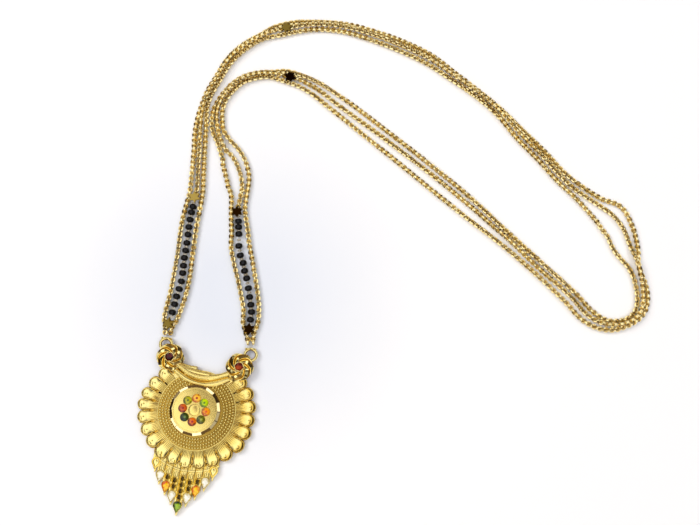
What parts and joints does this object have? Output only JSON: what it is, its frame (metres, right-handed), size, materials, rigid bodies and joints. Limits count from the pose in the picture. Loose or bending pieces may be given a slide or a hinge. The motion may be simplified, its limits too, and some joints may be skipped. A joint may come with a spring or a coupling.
{
  "type": "mangalsutra",
  "caption": "Gold-tone multi-strand chain necklace with black beads and star spacers, lying flat, with a round flower pendant set with enamel and a short enamelled fringe.",
  "frame": {"origin": "middle of the necklace's footprint, on the surface that it lies on", "axes": "+X to the right and +Y up as the necklace is seen laid out, with the pendant at the lower left, +Z up from the surface"},
  "size_m": [0.1807, 0.1832, 0.0047],
  "materials": {
    "bright_gold": "satin gold plating, brushed in the petals",
    "chain_gold": "bright gold plating on fine links",
    "black_bead": "glossy black glass",
    "orange_enamel": "glossy transparent orange enamel",
    "dark_green_enamel": "glossy dark green enamel",
    "lime_enamel": "glossy lime enamel",
    "amber_enamel": "glossy amber enamel, red towards the top",
    "white_enamel": "glossy off-white enamel",
    "red_stone": "polished cut stone, dark red"
  },
  "bodies": {
    "root": {"pendant_body": "bright_gold", "medallion": "bright_gold", "cup_enamel_1": "orange_enamel", "cup_enamel_2": "dark_green_enamel", "cup_enamel_3": "orange_enamel", "cup_enamel_4": "dark_green_enamel", "cup_enamel_5": "orange_enamel", "cup_enamel_6": "lime_enamel", "cup_enamel_7": "orange_enamel", "cup_enamel_8": "lime_enamel", "drop_enamel_1": "white_enamel", "drop_enamel_2": "amber_enamel", "drop_enamel_3": "white_enamel", "drop_enamel_4": "lime_enamel", "drop_enamel_5": "white_enamel", "drop_enamel_6": "amber_enamel", "drop_enamel_7": "white_enamel", "stone_left": "red_stone", "stone_right": "red_stone", "jump_ring_left": "bright_gold", "jump_ring_right": "bright_gold", "end_links_left": "chain_gold", "end_links_right": "chain_gold", "chain_outer": "chain_gold", "chain_middle": "chain_gold", "chain_inner": "chain_gold", "beads_left": "black_bead", "beads_right": "black_bead", "bead_thread_left": "chain_gold", "bead_thread_right": "chain_gold", "star_1": "bright_gold", "star_2": "bright_gold", "star_3": "bright_gold", "star_4": "bright_gold", "star_5": "bright_gold", "star_6": "bright_gold"}
  },
  "joints": []
}
